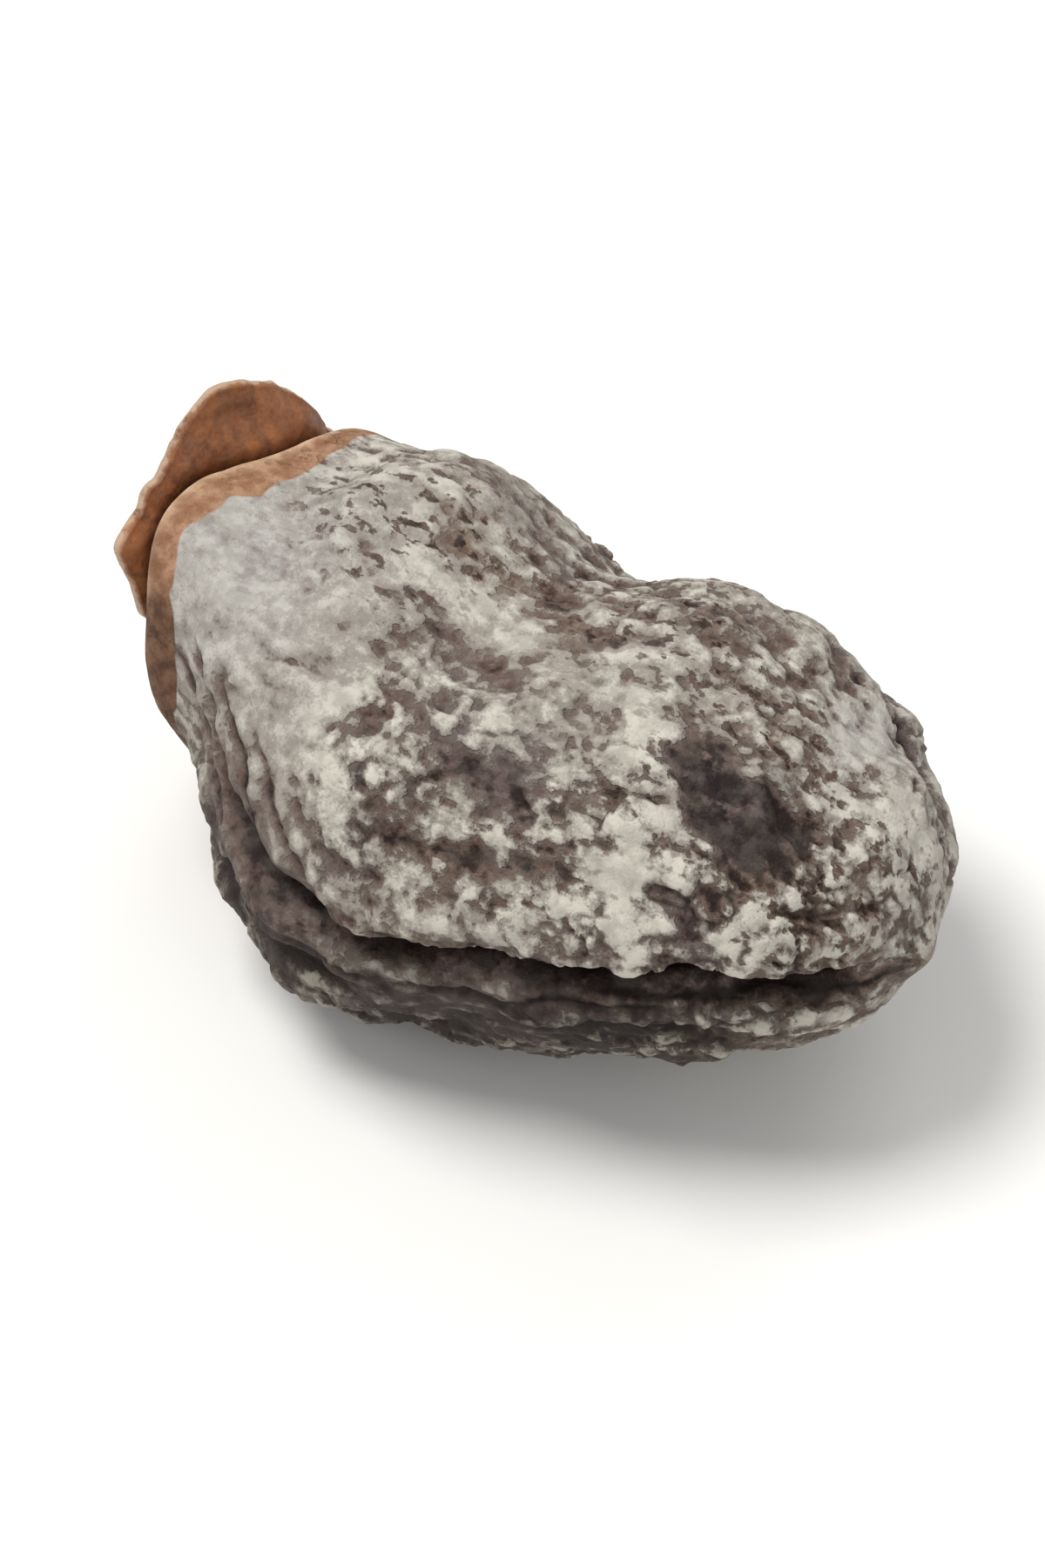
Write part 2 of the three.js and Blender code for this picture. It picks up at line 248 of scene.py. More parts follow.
# ---- the smooth fruit
def meridian(theta):
    """The undented fruit at a meridian angle: distance along the axis, share of the full radius,
    and outward direction, along the axis and across it."""
    c, s = np.cos(theta), np.sin(theta)
    on_shoulder = c > 0
    half = np.where(on_shoulder, WIDEST_AT, FRUIT_LENGTH - WIDEST_AT)
    power = np.where(on_shoulder, SHOULDER_POWER, TIP_POWER)
    roundness = np.where(on_shoulder, SHOULDER_POWER, TIP_ROUNDNESS)
    along = WIDEST_AT - np.sign(c) * half * np.abs(c) ** (2 / power)
    out = np.hypot(c / half, s / MEAN_RADIUS)
    return along, np.abs(s) ** (2 / roundness), -c / half / out, s / MEAN_RADIUS / out


def section_radius(angle):
    """The full radius at an angle round the fruit."""
    across = np.abs(np.cos(angle) / HALF_WIDTH) ** SECTION_POWER
    upward = np.abs(np.sin(angle) / HALF_HEIGHT) ** SECTION_POWER
    return (across + upward) ** (-1 / SECTION_POWER)


def lumps(along, angle):
    """How far the gentle unevenness rises."""
    return sum(
        height * np.sin(pitch * along + waves * angle + phase)
        for height, pitch, waves, phase in LUMPS
    )


def crease_angle(angles, along):
    """The angle round the fruit at which a crease runs: a wavering curve through its angles."""
    t = along / FRUIT_LENGTH
    first, middle, last = angles
    curve = first * (1 - t) * (1 - 2 * t) + 4 * middle * t * (1 - t) + last * t * (2 * t - 1)
    waver = sum(much * np.sin(pitch * along + shift * middle) for much, pitch, shift in WAVERS)
    return radians(curve + waver)


def column_angle(nominal, along):
    """The angle of a column of the mesh at a station: the columns follow the creases."""
    homes = [radians(angles[1]) for angles, *_ in CREASES]
    homes = [homes[-1] - 2 * np.pi, *homes, homes[0] + 2 * np.pi]
    lines = [crease_angle(angles, along) for angles, *_ in CREASES]
    lines = [lines[-1] - 2 * np.pi, *lines, lines[0] + 2 * np.pi]
    angle = np.zeros_like(along)
    for k in range(len(homes) - 1):
        share = (nominal - homes[k]) / (homes[k + 1] - homes[k])
        between = lines[k] + (lines[k + 1] - lines[k]) * share
        angle = np.where((share >= 0) & (share < 1), between, angle)
    return angle


def even_rows(count):
    """Meridian angles from pole to pole at even steps along the skin."""
    theta = np.linspace(0, np.pi, MERIDIAN_STEPS)
    along, share, _, _ = meridian(theta)
    steps = np.hypot(np.diff(along), np.diff(share) * MEAN_RADIUS)
    length = np.concatenate([[0], np.cumsum(steps)])
    return np.interp(np.linspace(0, length[-1], count + 1), length, theta)


def collar_stand(share, angle):
    """How far the collar stands out along the axis."""
    past = share - COLLAR_SHARE
    width = np.where(past > 0, STAND_OUTER, STAND_INNER)
    return STAND_REACH * within(angle, STAND_ANGLE, STAND_HALF_WIDTH) * bump(past, width)


def spot(form, at, angle, half_length, half_width):
    """A soft oval on the fruit, 1 at its middle, in millimetres along and around."""
    across = turned(form["angle"] - radians(angle)) * np.maximum(form["radius"], LEAST_SPOT_RADIUS)
    return bump(form["along"] - at, half_length) * bump(across, half_width)


def with_spots(form, value, spots):
    """The value with soft ovals added to it."""
    for at, angle, much, half_length, half_width in spots:
        value = value + much * spot(form, at, angle, half_length, half_width)
    return value


def crease(along, angle, radius):
    """What the creases do: how far the skin rises and slides round, and how much a groove is bared
    of bloom and darkened with painted shade.
    """
    rise, slide, groove = 0, 0, np.zeros_like(along)
    for angles, start, stop, depth, width, lip, overhang in CREASES:
        run = smooth((along - start) / CREASE_START) * smooth((stop - along) / CREASE_STOP)
        across = turned(angle - crease_angle(angles, along))
        across = across * np.maximum(radius, LEAST_CREASE_RADIUS)
        notch = np.exp(-((np.abs(across) / width) ** NOTCH_POWER))
        lips = lip * bump(across + UPPER_LIP_AT * width, LIP_WIDTH * width)
        lower = LOWER_LIP * lip * bump(across - LOWER_LIP_AT * width, LIP_WIDTH * width)
        rise = rise + run * (lips + lower - depth * notch)
        hanging = bump(across + OVERHANG_AT * width, OVERHANG_WIDTH * width)
        slide = slide + run * overhang * hanging
        groove = np.maximum(groove, run * notch * min(1, depth / DARK_DEPTH))
    return rise, slide, groove


def body_form(theta, angle):
    """The fruit as the solid has it, with what the finish needs to know."""
    along, share, out_along, out_across = meridian(theta)
    radius = share * section_radius(angle)
    calyx_end = smooth(2 * (WIDEST_AT - along) / WIDEST_AT)
    form = {"along": along, "share": share, "angle": angle, "radius": radius}
    away = smooth(share / FADED_IN)
    off_seat = 1 - calyx_end * (1 - smooth((share - SWELLS_FROM) / SWELLS_FADE))

    creased, slide, groove = crease(along, angle, radius)
    rise = away * (lumps(along, angle) + creased) + off_seat * with_spots(form, 0, SWELLS)
    rise = rise + calyx_end * COLLAR_RISE * bump(share - COLLAR_SHARE, COLLAR_WIDTH)
    seat = calyx_end * SEAT_DEPTH * (1 - smooth(share / SEAT_SHARE))
    scar = np.where(calyx_end > 0, 0, SCAR_RISE * bump(share, SCAR_SHARE))
    stand = calyx_end * collar_stand(share, angle)
    x = along + out_along * rise + seat + scar - stand
    across = radius + out_across * rise
    sag = BELLY_DROP * bump(x - BELLY_AT, BELLY_LENGTH)
    sagging = math.radians(BELLY_ANGLE)
    turn = angle + away * slide / np.maximum(radius, LEAST_CREASE_RADIUS)
    y = sag * math.cos(sagging) + across * np.cos(turn)
    z = sag * math.sin(sagging) + across * np.sin(turn) + AXIS_HEIGHT
    points = np.stack([x, y, z], axis=-1)
    return {**form, "points": points, "groove": away * groove, "calyx_end": calyx_end}


def fine_grid():
    """Meridian angles and angles round the fruit for the rows and columns of the fine mesh."""
    nominal = np.linspace(0, 2 * np.pi, BODY_COLUMNS, endpoint=False)
    theta, nominal = np.meshgrid(even_rows(BODY_ROWS), nominal, indexing="ij")
    return theta, column_angle(nominal, meridian(theta)[0])


def collar_crest(angle):
    """The collar's crest at an angle round the fruit's axis: its x and distance from the axis."""
    theta = np.full_like(angle, math.asin(COLLAR_SHARE ** (SHOULDER_POWER / 2)))
    crest = body_form(theta, angle)["points"]
    return crest[..., 0], np.hypot(crest[..., 1], crest[..., 2] - AXIS_HEIGHT)


def grid_normals(points, inside):
    """Outward unit normals of a grid that closes round its columns and holds a point inside."""
    down = np.gradient(points, axis=0)
    around = np.roll(points, -1, axis=1) - np.roll(points, 1, axis=1)
    normal = np.cross(around, down)
    length = np.linalg.norm(normal, axis=-1, keepdims=True)
    normal = normal / np.maximum(length, 1e-9)
    side = np.sign(np.sum(normal * (points - inside), axis=-1).mean())
    return normal * side


# ---- where the finish varies
# Where the bloom is thick or rubbed off (minus): distance along, angle round, how much,
# half-length, half-width.
BLOOM_SPOTS = [
    (29.0, 126, -0.40, 2.6, 2.6),
    (32.2, 127, -0.32, 2.4, 2.6),
    (31.5, 139, 0.24, 4.4, 1.0),
    (39.6, 122, -0.22, 0.9, 0.9),
    (42.4, 132, -0.26, 1.0, 1.2),
    (23.5, 96, -0.26, 5.0, 1.8),
    (41.3, 104, -0.55, 2.3, 2.3),
    (44.8, 113, -0.76, 3.1, 2.9),
    (47.8, 122, -0.58, 2.5, 2.4),
    (45.0, 143, -0.16, 2.0, 2.0),
    (51.0, 137, 0.08, 4.0, 3.4),
    (43.5, 70, -0.20, 3.8, 2.6),
    (10.0, 85, -0.12, 3.6, 2.6),
    (17.0, 68, -0.20, 4.0, 2.4),
    (25.0, 58, -0.20, 4.0, 2.4),
    (33.0, 62, -0.10, 4.0, 3.0),
    (28.5, 146, -0.32, 3.6, 1.8),
    (35.5, 145, -0.30, 2.4, 2.2),
    (17.5, 166, -0.14, 7.0, 4.0),
    # This spot thins the bloom on the underside, as part of its painted shade.
    (40.0, 196, -0.16, 14.0, 6.0),
    (40.7, 142, 0.56, 2.7, 2.5),
    (53.0, 187, 0.34, 3.0, 1.0),
    (47.5, 184, 0.12, 3.0, 1.2),
    (26.5, 155, 0.20, 4.0, 1.8),
    (34.0, 157, 0.26, 4.0, 1.8),
    (44.0, 154, 0.14, 3.0, 1.8),
    (28.0, 112, 0.12, 3.0, 2.4),
    (46.5, 150, 0.10, 4.0, 2.0),
    # A spot of lighter crust, partly a painted highlight.
    (37.0, 106, 0.30, 2.4, 2.8),
    (22.0, 82, 0.28, 6.0, 1.4),
    (8.0, 114, 0.20, 7.0, 7.0),
    (10.0, 62, 0.20, 4.0, 4.0),
    (47.0, 46, 0.34, 2.6, 5.0),
    (50.5, 68, 0.26, 2.4, 3.0),
    (54.0, 62, 0.20, 2.6, 4.0),
    (30.0, 84, 0.14, 3.0, 2.4),
    (22.0, 12, -0.20, 7.0, 3.0),
    (38.0, 346, -0.24, 6.0, 3.0),
    (12.0, 300, -0.20, 7.0, 4.0),
    (40.0, 290, -0.24, 7.0, 3.0),
    (26.0, 238, -0.24, 6.0, 3.0),
    (47.0, 218, -0.20, 5.0, 3.0),
    (30.0, 320, 0.20, 8.0, 5.0),
]
BARE_BELOW = 0.40  # cover at which the crust gives way to bare flesh
CRISP_BELOW = -0.45  # spots that take away more than this have crisp, ragged edges

# In the same form: where the bloom is knobbly or powdery (minus), where it has small dark pits,
# where flesh is brown or purplish (minus), and where the bloom is cool.
KNOBBLY_SPOTS = [
    (38, 142, 0.7, 13, 9),
    (50, 118, 0.5, 7, 12),
    (8, 116, -0.8, 9, 9),
    (15, 150, -0.6, 8, 8),
    (31, 126, -0.2, 4, 3.5),
    (45, 113, -0.4, 5, 4),
    (40.7, 142, -0.6, 2.8, 2.5),
]
PITTED_SPOTS = [
    (10, 84, 0.5, 4, 4),
    (17, 68, 0.5, 5, 4),
    (25, 58, 0.5, 5, 4),
    (33, 64, 0.5, 5, 4),
    (43, 76, 0.5, 6, 4),
    (50, 130, 0.4, 6, 7),
]
BROWN_SPOTS = [
    (43, 72, 0.6, 6, 5),
    (51, 130, 0.7, 5, 6),
    (20, 64, 0.4, 9, 4),
    (31, 146, 0.4, 5, 4),
    (44.5, 110, -0.6, 5, 4),
    (30, 122, -0.4, 4, 3),
]
COOL_SPOTS = [
    (7, 118, 1.0, 9, 10),
    (47, 46, 0.8, 3, 6),
]
UPPER_FRONT = (30, 100, 24, 14)  # where pleats are shallow
BESIDE_CALYX = (13, 164, 11, 8)  # where they are closest and slant

# The underside, where painted shade darkens the flesh and leaves the bloom thinner and greyer:
# where it is, where it starts below the long crease, and the lengths over which it fades at the
# calyx and at the tip.
UNDER_ANGLE, UNDER_HALF_WIDTH, UNDER_GAIN = 203, 30, 1.3
UNDER_FROM, UNDER_FADE = 170, 14
UNDER_CALYX_FADE, UNDER_TIP_FADE = 14, 12

# Thin folds and cracks: start and end (distance along, angle round), depth, half-width.
CRACKS = [
    ((7.5, 137), (19.5, 121), 0.24, 0.40),
    ((5.0, 146), (15.0, 166), 0.55, 0.45),
    ((8.0, 141), (20.0, 163), 0.50, 0.40),
    ((3.5, 154), (11.0, 174), 0.55, 0.45),
    ((13.0, 143), (24.0, 160), 0.45, 0.40),
    ((7.0, 160), (13.0, 178), 0.50, 0.45),
    ((18.0, 144), (28.0, 157), 0.35, 0.35),
    ((47.3, 14), (50.4, 84), 0.25, 0.80),
    ((30.0, 120), (25.0, 136), 0.40, 0.40),
    ((37.6, 124), (41.5, 118), 0.22, 0.40),
    ((28.5, 145), (33.6, 142), 0.35, 0.35),
    ((35.3, 128), (39.6, 132), 0.30, 0.30),
    ((49.0, 140), (54.0, 128), 0.45, 0.40),
    ((45.0, 98), (50.5, 112), 0.45, 0.45),
    ((12.0, 180), (30.0, 181), 0.60, 0.50),
    ((26.0, 184), (50.0, 179), 0.60, 0.55),
    ((34.0, 192), (52.0, 188), 0.50, 0.50),
    ((20.0, 50), (27.0, 62), 0.20, 0.45),
    ((38.0, 176), (60.0, 173), 0.50, 0.60),
]
CRACK_WANDER = 0.9
CRACK_ENDS = 0.25  # share of its length over which a crack starts and stops
# A crack this deep shows as a full line of bare flesh and painted shade.
DARK_CRACK = 0.5  # depth of a crack that shows as a full line


# ---- the fruit's finish
# Pleats: waves per millimetre round the fruit, scale along it, wander, height, seed.
BROAD_PLEATS = (0.17, 0.22, 1.0, 2.4, 2)
NARROW_PLEATS = (0.42, 0.22, 1.0, 0.9, 3)
STREAKS = (0.95, 0.16, 0.5, 0.6, 4)
PLEAT_TOP, PLEAT_MEAN = 0.4, 0.22  # where the noise of a pleat levels off, and its mean
SLEEVE_RADIUS = 12.0  # of the sleeve on which pleats are drawn
SLEEVE_WANDER = np.array([0.0, 1.6, 1.6])
PLEAT_SLANT = 0.055  # radians a millimetre, beside the calyx
CLOSE_PLEATS_SHARE, CLOSE_PLEATS_WIDTH = 0.86, 0.12  # ring of close pleats on the shoulder
SMOOTH_TO, SMOOTH_FADE = 0.68, 0.08  # the collar's skin is smooth out to this share of the radius
MEAN_COVER = 0.62  # of skin by bloom
# Below the fruit, taking off bloom is part of the underside's painted shade.
BARE_IN_CREASE, BARE_IN_CRACK, BARE_AND_SHADED_BELOW = 1.2, 0.55, 0.16  # taken off the cover
LENGTHWISE = np.array([0.6, 1, 1])  # clumps of the crust are longer along the fruit
CLUMPS = [(1.5, 0.48, 14), (1.6, 0.86, 15)]
CRUST_THICKNESS, CRUST_EDGE = 0.16, 0.15
CRUMB_COVER, CRUMB_HEIGHT = 0.24, 0.08  # what crumbs add to the cover and to the crust
# On powdery bloom and on knobbly bloom: the size of the crumbs, and what crevices take off.
CRUMB_SIZE = (0.55, 1.5)
CREVICE_COVER = (0.06, 0.58)
CREVICE_DEPTH = (0.03, 0.26)
# Painted shade in creases is lighter towards the calyx, up to this distance along.
PALE_CREASE, PALE_TO, PALE_FADE = 0.6, 22, 14  # creases are paler up to this distance along


def cracks(form, points):
    """How deep the thin folds go, and how much they show as a line of bare flesh and painted shade,
    at each point.
    """
    wander = CRACK_WANDER * perlin(points, 0.28, seed=40)
    depth = np.zeros_like(wander)
    line = np.zeros_like(wander)
    radius = np.maximum(form["radius"], LEAST_SPOT_RADIUS)
    for (at, angle), (to, to_angle), deep, width in CRACKS:
        run = np.stack([np.full_like(radius, to - at), radians(to_angle - angle) * radius], axis=-1)
        across = turned(form["angle"] - radians(angle)) * radius
        off = np.stack([form["along"] - at, across], axis=-1)
        part = np.sum(run * off, axis=-1) / np.sum(run * run, axis=-1)
        away = np.linalg.norm(off - run * np.clip(part, 0, 1)[..., None], axis=-1)
        side = np.sign(run[..., 0] * off[..., 1] - run[..., 1] * off[..., 0])
        notch = np.exp(-((np.abs(side * away + wander) / width) ** NOTCH_POWER))
        notch = notch * smooth(part / CRACK_ENDS) * smooth((1 - part) / CRACK_ENDS)
        depth = np.maximum(depth, deep * notch)
        line = np.maximum(line, notch * min(1, deep / DARK_CRACK))
    return depth, line


def pleats(sleeve, wander, kind):
    """One kind of pleats, as a height above and below the skin's mean."""
    scale, drawn_out, wandering, height, seed = kind
    points = sleeve * np.array([drawn_out, 1, 1]) + wandering * wander
    return height * (soft(np.abs(perlin(points, scale, seed)), PLEAT_TOP) - PLEAT_MEAN)


def wrinkles(form):
    """Pleats that run along the fruit and close in at both ends, as on a sleeve drawn tight."""
    along = form["along"]
    front = np.clip(spot(form, *UPPER_FRONT), 0, 1)
    beside = spot(form, *BESIDE_CALYX)
    ring = bump(form["share"] - CLOSE_PLEATS_SHARE, CLOSE_PLEATS_WIDTH)
    turn = form["angle"] + PLEAT_SLANT * (along - BESIDE_CALYX[0]) * beside
    turn = turn + 0.14 * np.sin(0.21 * along + 1.0)
    round_y, round_z = SLEEVE_RADIUS * np.cos(turn), SLEEVE_RADIUS * np.sin(turn)
    sleeve = np.stack([along, round_y, round_z], axis=-1)
    wander = fractal(form["points"], 0.10, 2, seed=1)[..., None] * SLEEVE_WANDER
    broad = (1 - 0.85 * front) * pleats(sleeve, wander, BROAD_PLEATS)
    narrow = (1 - 0.75 * front) * pleats(sleeve, wander, NARROW_PLEATS)
    close = 0.25 + 0.75 * beside + 0.5 * form["calyx_end"] * ring
    return broad + narrow + close * pleats(sleeve, wander, STREAKS)


def underside_shade(form):
    """How much a point belongs to the underside, which gets painted shade, 0 to 1."""
    angle, along = form["angle"], form["along"]
    below = smooth((angle - radians(UNDER_FROM)) / radians(UNDER_FADE))
    under_shade = UNDER_GAIN * within(angle, UNDER_ANGLE, UNDER_HALF_WIDTH) * below
    under_shade = np.clip(under_shade, 0, 1) * smooth(along / UNDER_CALYX_FADE)
    return under_shade * smooth((FRUIT_LENGTH - along) / UNDER_TIP_FADE)


def bloom_cover(form, points, wrinkle, line, under_shade):
    """How much of the skin the bloom covers, before its crumbs."""
    cover = MEAN_COVER + 0.07 * fractal(points, 0.09, 2, seed=9)
    cover = cover + 0.06 * perlin(points, 0.27, seed=10)
    cover = cover - BARE_IN_CREASE * form["groove"] - BARE_IN_CRACK * line
    # Less bloom on the underside, as part of its painted shade.
    cover = cover - BARE_AND_SHADED_BELOW * under_shade
    on_pleats = 0.13 + 0.30 * spot(form, *BESIDE_CALYX)
    cover = cover + on_pleats * np.clip(wrinkle, -0.6, 0.6)
    ragged = 0.5 * perlin(points, 0.6, seed=53)
    for at, angle, much, half_length, half_width in BLOOM_SPOTS:
        shape = spot(form, at, angle, half_length, half_width)
        if much < CRISP_BELOW:
            shape = smooth(1.8 * shape - 0.25 + ragged * shape)
        cover = cover + much * shape
    return cover


def bloom_crumbs(points, knobbly):
    """Clumps of the bloom two millimetres across and crumbs of one, and the crevices between the
    clumps, dark with bare flesh and painted shade."""
    drawn = points * LENGTHWISE
    swirl = np.stack([perlin(points, 0.5, seed=44 + k) for k in range(3)], axis=-1)
    net = cell_borders(drawn + 0.8 * swirl, 0.46, seed=5)
    crevice = (1 - smooth(net / 0.22)) * smooth((perlin(points, 0.32, seed=42) + 0.2) / 0.35)
    crumbs = layers(drawn, CLUMPS) + 1.6 * (np.abs(perlin(drawn, 0.70, seed=16)) - 0.2)
    crumbs = crumbs + 1.2 * perlin(points, 1.45, seed=17)
    return mix(*CRUMB_SIZE, knobbly) * crumbs, crevice


def body_relief(form):
    """Wrinkles and the bloom's crust, from the smooth form: the points, the depth of the bloom
    (about 0 on bare flesh to 1 where it is thick), the tints of flesh and bloom and the masks of
    painted shade."""
    points = form["points"]
    middle = np.array([FRUIT_LENGTH / 2, 0, AXIS_HEIGHT])
    away = smooth(form["share"] / 0.5)
    collar = form["calyx_end"] * (1 - smooth((form["share"] - SMOOTH_TO) / SMOOTH_FADE))

    wrinkle = wrinkles(form)
    hollows = 0.30 * fractal(points, 0.13, 2, seed=6) + 0.16 * fractal(points, 0.36, 2, seed=7)
    depth, line = cracks(form, points)
    relief = away * (1 - 0.9 * collar) * (wrinkle + hollows - depth)
    points = points + grid_normals(points, middle) * relief[..., None]

    under_shade = underside_shade(form)
    cover = bloom_cover(form, points, wrinkle, line, under_shade)
    knobbly = with_spots(form, 0.35 + 0.45 * fractal(points, 0.06, 2, seed=41), KNOBBLY_SPOTS)
    knobbly = np.clip(knobbly, 0, 1)
    cover = cover + 0.20 * knobbly * perlin(points, 0.24, seed=45)
    crumbs, crevice = bloom_crumbs(points, knobbly)
    bloom = cover + CRUMB_COVER * crumbs - mix(*CREVICE_COVER, knobbly) * crevice
    crusted = smooth((bloom - BARE_BELOW + CRUST_EDGE) / (2 * CRUST_EDGE))
    crust = CRUST_THICKNESS * crusted + CRUMB_HEIGHT * crumbs
    crust = crust - mix(*CREVICE_DEPTH, knobbly) * crevice
    points = points + grid_normals(points, middle) * (away * (1 - collar) * crust)[..., None]

    pitted = with_spots(form, 0.35 + 0.4 * fractal(points, 0.07, 2, seed=43), PITTED_SPOTS)
    brown = with_spots(form, 0.45 + 0.35 * fractal(points, 0.14, 2, seed=18), BROWN_SPOTS)
    # Painted shade in creases, lighter towards the calyx, in cracks and in crevices of knobbly
    # bloom.
    towards_tip = smooth((form["along"] - PALE_TO) / PALE_FADE)
    groove = np.maximum(form["groove"] * mix(PALE_CREASE, 1, towards_tip), 0.75 * line)
    groove = np.maximum(groove, 0.66 * crevice * smooth(1.4 * knobbly))
    return points, {
        "bloom": bloom,
        "pitted": np.clip(pitted, 0, 1),
        "knobbly": knobbly,
        "brown": brown,
        "cool": with_spots(form, 0, COOL_SPOTS),
        "under_shade": under_shade,
        "groove": groove,
    }


# ---- meshes
def even_grid(rows, columns):
    """Shares of the way from pole to pole, and angles round, for a mesh's rows and columns."""
    share = np.linspace(0, 1, rows + 1)
    angle = np.linspace(0, 2 * np.pi, columns, endpoint=False)
    return np.meshgrid(share, angle, indexing="ij")


def linked(name, data):
    """A new object in the scene."""
    thing = bpy.data.objects.new(name, data)
    bpy.context.scene.collection.objects.link(thing)
    return thing


def mesh_piece(name, grid, attributes):
    """A closed mesh from a grid of points whose first and last rows are single poles."""
    rows, columns = grid.shape[0] - 1, grid.shape[1]
    inner = grid[1:-1].reshape(-1, 3)
    vertices = np.vstack([grid[0].mean(axis=0), inner, grid[-1].mean(axis=0)])

    def at(row, column):
        return 1 + (row - 1) * columns + column % columns

    faces = []
    last = len(vertices) - 1
    for column in range(columns):
        faces.append((0, at(1, column + 1), at(1, column)))
        faces.append((last, at(rows - 1, column), at(rows - 1, column + 1)))
    row, column = np.meshgrid(np.arange(1, rows - 1), np.arange(columns), indexing="ij")
    quads = [at(row, column), at(row, column + 1), at(row + 1, column + 1), at(row + 1, column)]
    faces.extend(map(tuple, np.stack(quads, axis=-1).reshape(-1, 4).tolist()))

    mesh = bpy.data.meshes.new(name)
    mesh.from_pydata((vertices * MM).tolist(), [], faces)
    for key, values in attributes.items():
        first, final = values[0].mean(), values[-1].mean()
        per_vertex = np.concatenate([[first], values[1:-1].ravel(), [final]])
        layer = mesh.attributes.new(key, "FLOAT", "POINT")
        layer.data.foreach_set("value", per_vertex.astype(np.float32))
    mesh.validate()
    mesh.update()
    mesh.polygons.foreach_set("use_smooth", [True] * len(mesh.polygons))
    return linked(name, mesh)


def node_box(node):
    """The low and high corners of a solid's box, in millimetres."""
    return [np.array(corner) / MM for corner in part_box(node)]


def fitted(points, node):
    """The points, drawn in on each side where they would stand out of the solid's box."""
    low, high = node_box(node)
    centre = (low + high) / 2
    reach = points - centre
    flat = reach.reshape(-1, 3)
    above = np.minimum(1, (high - centre) / flat.max(axis=0))
    below = np.minimum(1, (low - centre) / flat.min(axis=0))
    return centre + reach * np.where(reach > 0, above, below)


def frame_place(form):
    """What moves the fruit's own form into the frame: the middle of its box to the solid's."""
    low, high = node_box("fruit_body")
    own = form["points"].reshape(-1, 3)
    place = (low + high) / 2 - (own.min(axis=0) + own.max(axis=0)) / 2
    place[2] = 0
    return place


# Bare skin past the collar's crest, in shares of the radius, and where painted shade with some
# darker colour of its own darkens it, in degrees.
SKIN_WIDTH, SKIN_RAGGED, SKIN_FADE = 0.075, 0.012, 0.015
CREST_AT, CREST_WIDTH = 0.005, 0.017
SKIN_SHADE_FROM, SKIN_SHADE_FADE = 118, 40
SCAR_COLOURED = 0.06


def make_body(form, place):
    """The fruit with its skin, bloom and collar, and where each of them shows."""
    points, tints = body_relief(form)
    points = points + place
    points[..., 2] = np.maximum(points[..., 2], 0)
    points = fitted(points, "fruit_body")
    calyx_end = form["calyx_end"]
    past_crest = form["share"] - COLLAR_SHARE
    edge = SKIN_WIDTH + SKIN_RAGGED * perlin(form["points"], 0.5, seed=19)
    blotchy = form["angle"] + 0.35 * perlin(form["points"], 0.25, seed=51)
    on_tip = form["along"] > WIDEST_AT
    skin = {
        "collar": calyx_end * smooth((edge - past_crest) / SKIN_FADE),
        "crest": calyx_end * bump(past_crest - CREST_AT, CREST_WIDTH),
        # Painted shade with some darker colour of its own, round one side and underneath.
        "skin_shade": calyx_end * smooth((blotchy - radians(SKIN_SHADE_FROM)) / radians(SKIN_SHADE_FADE)),
        "scar": np.where(on_tip, bump(form["share"], SCAR_COLOURED), 0),
    }
    return mesh_piece("persimmon_flesh", points, {**tints, **skin})


# ---- the calyx
# Sunk rings on the outer face: how far out, half-width, how strong.
CALYX_RINGS = [
    (0.33, 0.018, 0.9),
    (0.45, 0.012, 0.5),
    (0.60, 0.016, 1.0),
    (0.66, 0.010, 0.5),
    (0.83, 0.014, 0.5),
]
CALYX_LOBES = 4
RADIAL_CREASE, LEATHER, VEIN, RING_DEPTH = 0.34, 0.10, 0.07, 0.45  # relief of the faces
CRUST_OUTSIDE, CRUST_INSIDE = 0.88, 0.95  # how far out the rim's pale crust starts
RIM_TEETH = [(0.02, 6, 21), (0.012, 17, 22)]
RING_WANDER = [(0.03, 0.22, 46), (0.012, 0.9, 47)]
FRILL = [(0.5, 2.6, 49), (0.35, 5.5, 50)]


def calyx_outline(angle, out, ring):
    """The distance from the calyx's middle, with lobes, ruffles and one folded corner."""
    lobe = LOBE_SHARE * np.cos(CALYX_LOBES * (angle - math.radians(LOBE_ANGLE)))
    ruffle = 0.01 * np.sin(9 * angle + 1) + 0.006 * np.sin(17 * angle + 2.3)
    shrunk = SHRUNK_SHARE * within(angle, SHRUNK_ANGLE, SHRUNK_HALF_WIDTH)
    fold = FOLD_REACH * within(angle, FOLD_ANGLE, FOLD_HALF_WIDTH) * smooth((out - 0.7) / 0.3)
    outline = 1 + lobe + ruffle - shrunk + layers(ring, RIM_TEETH) * out ** 6 - 0.008
    return out * (CALYX_RADIUS * outline + fold)


